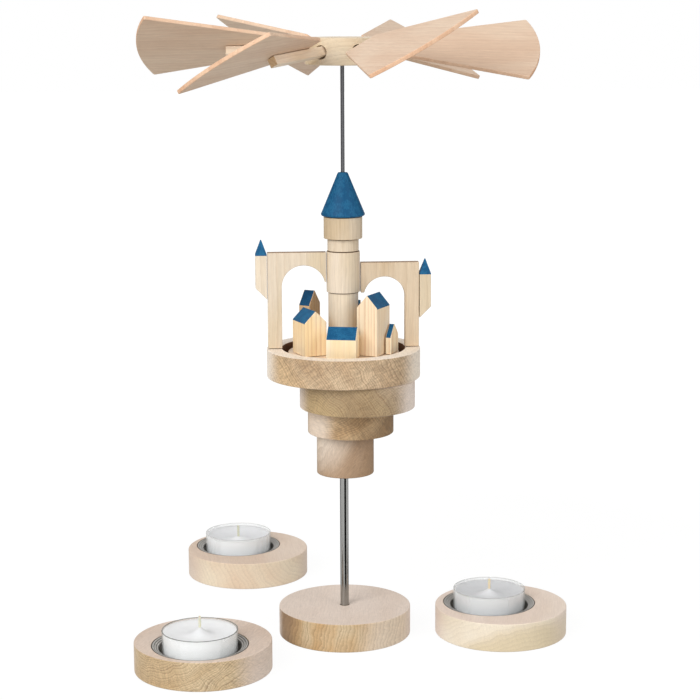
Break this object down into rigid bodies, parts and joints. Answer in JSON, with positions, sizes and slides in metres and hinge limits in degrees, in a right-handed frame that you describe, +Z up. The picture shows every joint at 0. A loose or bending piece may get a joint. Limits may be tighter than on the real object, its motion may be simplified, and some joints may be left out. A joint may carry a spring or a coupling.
{
  "type": "candle carousel",
  "caption": "Wooden candle carousel: a castle island on a spindle turns on a needle bearing in a steel tube, driven by a bladed propeller above, with loose tealight holders.",
  "frame": {"origin": "on the spindle's axis, on the underside of the base disc", "axes": "+Z up along the spindle, +X to the right and +Y away from the viewer of the picture"},
  "size_m": [0.2253, 0.243, 0.329],
  "materials": {
    "maple": "turned and sanded pale hardwood, unfinished",
    "lime_wood": "planed straight-grained lime, unfinished",
    "pine": "sawn and sanded pine with marked growth rings",
    "blue_paint": "matt blue paint on wood",
    "polished_steel": "drawn stainless steel, bright",
    "spun_steel": "spun sheet steel with turning rings",
    "tinplate": "pressed tinplate",
    "brass": "turned brass",
    "clear_cup": "clear moulded plastic",
    "wax": "cast white wax",
    "cotton_wick": "waxed braided cotton"
  },
  "bodies": {
    "stand": {"base_disc": "maple", "support_tube": "polished_steel", "needle_seat": "polished_steel", "guide_bush": "brass"},
    "carousel": {"spindle": "polished_steel", "keel_disc": "maple", "small_disc": "maple", "large_disc": "maple", "island_plate": "maple", "castle_floor": "maple", "tower_shaft": "maple", "tower_collar": "maple", "tower_neck": "maple", "tower_crown": "maple", "tower_roof": "blue_paint", "arch_left": "maple", "arch_right": "maple", "turret_left": "maple", "turret_right": "maple", "house_front": "pine", "house_front_left": "pine", "house_back_left": "pine", "house_back": "pine", "house_right": "pine", "house_far_right": "pine", "propeller_hub": "maple"},
    "blade_left": {"blade_stick_left": "lime_wood", "blade_left": "lime_wood"},
    "blade_front_left": {"blade_stick_front_left": "lime_wood", "blade_front_left": "lime_wood"},
    "blade_front_right": {"blade_stick_front_right": "lime_wood", "blade_front_right": "lime_wood"},
    "blade_right": {"blade_stick_right": "lime_wood", "blade_right": "lime_wood"},
    "blade_back_right": {"blade_stick_back_right": "lime_wood", "blade_back_right": "lime_wood"},
    "blade_back_left": {"blade_stick_back_left": "lime_wood", "blade_back_left": "lime_wood"},
    "holder_front_left": {"holder_front_left": "maple", "dish_front_left": "spun_steel"},
    "tealight_front_left": {"tealight_cup_front_left": "clear_cup", "wick_foot_front_left": "tinplate", "wick_front_left": "cotton_wick", "wax_front_left": "wax"},
    "holder_right": {"holder_right": "maple", "dish_right": "spun_steel"},
    "tealight_right": {"tealight_cup_right": "clear_cup", "wick_foot_right": "tinplate", "wick_right": "cotton_wick", "wax_right": "wax"},
    "holder_back_left": {"holder_back_left": "maple", "dish_back_left": "spun_steel"},
    "tealight_back_left": {"tealight_cup_back_left": "clear_cup", "wick_foot_back_left": "tinplate", "wick_back_left": "cotton_wick", "wax_back_left": "wax"}
  },
  "joints": [
    {"name": "carousel_spin", "type": "hinge", "parent": "stand", "child": "carousel", "pos_m": [0, 0, 0], "axis": [0, 0, 1], "continuous": true},
    {"name": "blade_left_pitch", "type": "hinge", "parent": "carousel", "child": "blade_left", "pos_m": [-0.015, -0.00037, 0.30775], "axis": [-0.9996, -0.0244, -0.0105], "range_deg": [-27, 63]},
    {"name": "blade_front_left_pitch", "type": "hinge", "parent": "carousel", "child": "blade_front_left", "pos_m": [-0.0086, -0.01229, 0.30775], "axis": [-0.5712, -0.8158, -0.0906], "range_deg": [-26, 64]},
    {"name": "blade_front_right_pitch", "type": "hinge", "parent": "carousel", "child": "blade_front_right", "pos_m": [0.00641, -0.01356, 0.30775], "axis": [0.4271, -0.9036, 0.0332], "range_deg": [-27, 63]},
    {"name": "blade_right_pitch", "type": "hinge", "parent": "carousel", "child": "blade_right", "pos_m": [0.01498, -0.00076, 0.30775], "axis": [0.9983, -0.0506, -0.0279], "range_deg": [-24, 66]},
    {"name": "blade_back_right_pitch", "type": "hinge", "parent": "carousel", "child": "blade_back_right", "pos_m": [0.00755, 0.01296, 0.30775], "axis": [0.5023, 0.8631, -0.0523], "range_deg": [-28, 62]},
    {"name": "blade_back_left_pitch", "type": "hinge", "parent": "carousel", "child": "blade_back_left", "pos_m": [-0.00709, 0.01322, 0.30775], "axis": [-0.4724, 0.881, -0.0262], "range_deg": [-30, 60]},
    {"name": "holder_front_left_place", "type": "slide", "parent": "stand", "child": "holder_front_left", "axis": [-0.7891, -0.6143, 0], "range_m": [-0.02, 0.06]},
    {"name": "tealight_front_left_lift", "type": "slide", "parent": "holder_front_left", "child": "tealight_front_left", "axis": [0, 0, 1], "range_m": [0, 0.03]},
    {"name": "holder_right_place", "type": "slide", "parent": "stand", "child": "holder_right", "axis": [1, -0.0052, 0], "range_m": [-0.0125, 0.06]},
    {"name": "tealight_right_lift", "type": "slide", "parent": "holder_right", "child": "tealight_right", "axis": [0, 0, 1], "range_m": [0, 0.03]},
    {"name": "holder_back_left_place", "type": "slide", "parent": "stand", "child": "holder_back_left", "axis": [-0.4648, 0.8854, 0], "range_m": [-0.05, 0.06]},
    {"name": "tealight_back_left_lift", "type": "slide", "parent": "holder_back_left", "child": "tealight_back_left", "axis": [0, 0, 1], "range_m": [0, 0.03]}
  ]
}
